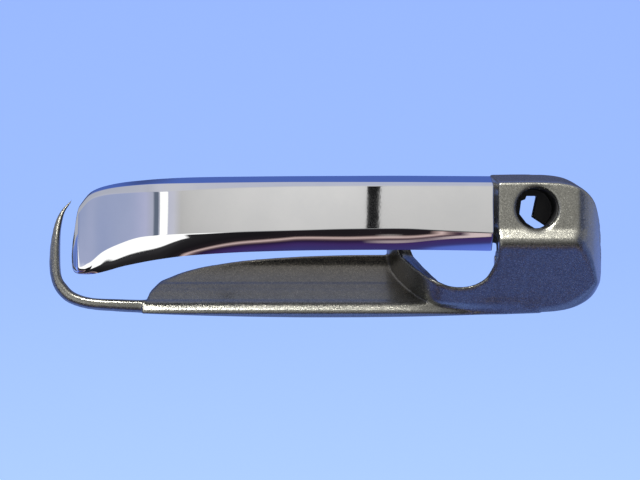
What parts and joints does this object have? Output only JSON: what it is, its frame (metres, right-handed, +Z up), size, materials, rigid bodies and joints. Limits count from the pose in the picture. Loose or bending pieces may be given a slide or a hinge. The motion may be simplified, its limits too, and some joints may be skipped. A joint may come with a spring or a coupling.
{
  "type": "car door handle",
  "caption": "Pull-strap outside door handle: chrome lever on a painted bezel with hand cup, lock opening, hinge pin, bellcrank, return spring and counterweight.",
  "frame": {"origin": "on the chassis's rear seating face, in the plane of the door skin's outside, behind the middle of the lever", "axes": "+X along the handle towards the lock end, +Z up the door, +Y into the door, so the handle faces -Y"},
  "size_m": [0.2935, 0.1031, 0.0763],
  "materials": {
    "painted_moulding": "warm grey metallic basecoat with clear lacquer",
    "chrome_plate": "bright chrome plate on plastic, highly polished",
    "black_plastic": "black glass-filled nylon, fine moulded grain",
    "natural_plastic": "natural acetal, smooth",
    "cast_zinc": "die-cast zinc, as cast and tumbled",
    "plain_steel": "bright plain steel",
    "zinc_plated_steel": "zinc-plated steel with a pale passivate",
    "clip_plastic": "yellow nylon clip",
    "black_rubber": "black rubber",
    "black_foam": "closed-cell black foam"
  },
  "bodies": {
    "mounting": {"bezel_housing": "painted_moulding", "chassis": "black_plastic", "hinge_pin": "plain_steel", "hinge_pin_clip": "plain_steel", "chassis_screw_upper": "zinc_plated_steel", "chassis_screw_lower": "zinc_plated_steel", "lock_sleeve": "black_plastic", "lock_retaining_clip": "plain_steel", "bellcrank_pin": "plain_steel", "bellcrank_pin_clip": "plain_steel", "return_spring": "plain_steel", "bumper_left": "black_rubber", "bumper_right": "black_rubber", "stud_seal": "black_foam", "lower_seal": "black_foam", "stud_left": "zinc_plated_steel", "stud_right": "zinc_plated_steel", "flange_nut_left": "zinc_plated_steel", "flange_nut_right": "zinc_plated_steel"},
    "lever": {"lever_cover": "chrome_plate", "lever_core": "black_plastic", "cover_screw_left": "zinc_plated_steel", "cover_screw_right": "zinc_plated_steel", "hinge_bush_upper": "natural_plastic", "hinge_bush_lower": "natural_plastic"},
    "crank": {"bellcrank": "cast_zinc", "counterweight": "plain_steel", "counterweight_rivet": "plain_steel"},
    "rod_end": {"rod_clip": "clip_plastic"}
  },
  "joints": [
    {"name": "lever_hinge", "type": "hinge", "parent": "mounting", "child": "lever", "pos_m": [-0.118, 0.012, -0.0044], "axis": [0, 0, -1], "range_deg": [0, 8]},
    {"name": "bellcrank_pivot", "type": "hinge", "parent": "mounting", "child": "crank", "pos_m": [0.102, 0.028, -0.026], "axis": [1, 0, 0], "range_deg": [0, 54], "stiffness_Nm_per_rad": 0.15, "springref_deg": -57.3, "deforming": ["return_spring"]},
    {"name": "rod_clip_swivel", "type": "hinge", "parent": "crank", "child": "rod_end", "pos_m": [0.102, 0.0516, -0.0302], "axis": [1, 0, 0], "range_deg": [-60, 20]}
  ],
  "couplings": [
    {"joint": "bellcrank_pivot", "follows": "lever_hinge", "ratio": 6.75}
  ]
}
